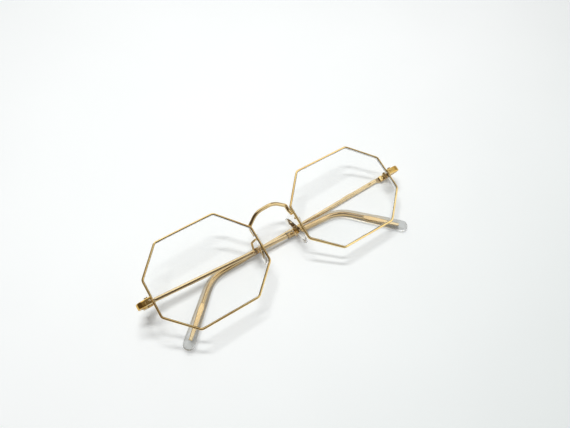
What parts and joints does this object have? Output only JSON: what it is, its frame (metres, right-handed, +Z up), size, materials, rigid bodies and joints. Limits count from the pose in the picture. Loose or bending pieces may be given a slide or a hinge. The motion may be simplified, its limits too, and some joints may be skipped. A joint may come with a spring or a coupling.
{
  "type": "eyeglasses",
  "caption": "Folded octagonal wire eyeglasses with clear lenses, temples on hinges with clear curved tips, an arched bridge and clear rocking nose pads.",
  "frame": {"origin": "middle of the bottom of the bounding box of the folded pair as it lies on a table", "axes": "+X towards the hinge that is on the right when seen from the front, +Y towards the top of the face, +Z up, out of the front of the lenses. The front is leaned back by 11.5 degrees about X and 3.5 degrees about Y, because it lies on its folded temples."},
  "size_m": [0.1342, 0.0456, 0.0246],
  "materials": {
    "bridge_metal": "polished, gold plated",
    "rim_metal": "polished, gold plated",
    "block_metal": "polished, gold plated",
    "strap_metal": "polished, gold plated",
    "temple_metal": "polished, gold plated",
    "hinge_metal": "polished, gold plated",
    "arm_metal": "polished, gold plated",
    "screw_metal": "polished, gold plated",
    "lens_clear": "clear, polished",
    "tip_clear": "clear, polished",
    "pad_clear": "clear, soft gloss"
  },
  "bodies": {
    "front": {"bridge": "bridge_metal", "left_rim": "rim_metal", "left_lens": "lens_clear", "left_rim_lock_upper": "block_metal", "left_rim_lock_lower": "block_metal", "left_rim_lock_screw": "screw_metal", "left_end_piece": "strap_metal", "left_front_hinge_leaf": "hinge_metal", "left_hinge_screw": "screw_metal", "left_pad_arm": "arm_metal", "left_pad_box": "arm_metal", "left_pad_screw": "screw_metal", "right_rim": "rim_metal", "right_lens": "lens_clear", "right_rim_lock_upper": "block_metal", "right_rim_lock_lower": "block_metal", "right_rim_lock_screw": "screw_metal", "right_end_piece": "strap_metal", "right_front_hinge_leaf": "hinge_metal", "right_hinge_screw": "screw_metal", "right_pad_arm": "arm_metal", "right_pad_box": "arm_metal", "right_pad_screw": "screw_metal"},
    "left_temple": {"left_temple": "temple_metal", "left_temple_hinge_leaf": "hinge_metal", "left_temple_tip": "tip_clear"},
    "left_pad": {"left_nose_pad": "pad_clear", "left_pad_carrier": "arm_metal"},
    "right_temple": {"right_temple": "temple_metal", "right_temple_hinge_leaf": "hinge_metal", "right_temple_tip": "tip_clear"},
    "right_pad": {"right_nose_pad": "pad_clear", "right_pad_carrier": "arm_metal"}
  },
  "joints": [
    {"name": "right_temple_fold", "type": "hinge", "parent": "front", "child": "right_temple", "pos_m": [0.06383, 0.00546, 0.0029], "axis": [0, -0.9799, -0.1994], "range_deg": [0, 88.6]},
    {"name": "left_temple_fold", "type": "hinge", "parent": "front", "child": "left_temple", "pos_m": [-0.06443, 0.0039, 0.01059], "axis": [0, 0.9799, 0.1994], "range_deg": [0, 91.2]},
    {"name": "right_pad_rock", "type": "hinge", "parent": "front", "child": "right_pad", "pos_m": [0.01115, 0.0015, 0.00835], "axis": [0.061, -0.199, 0.9781], "range_deg": [-10, 10]},
    {"name": "left_pad_rock", "type": "hinge", "parent": "front", "child": "left_pad", "pos_m": [-0.01138, 0.00123, 0.0097], "axis": [0.061, -0.199, 0.9781], "range_deg": [-10, 10]}
  ]
}
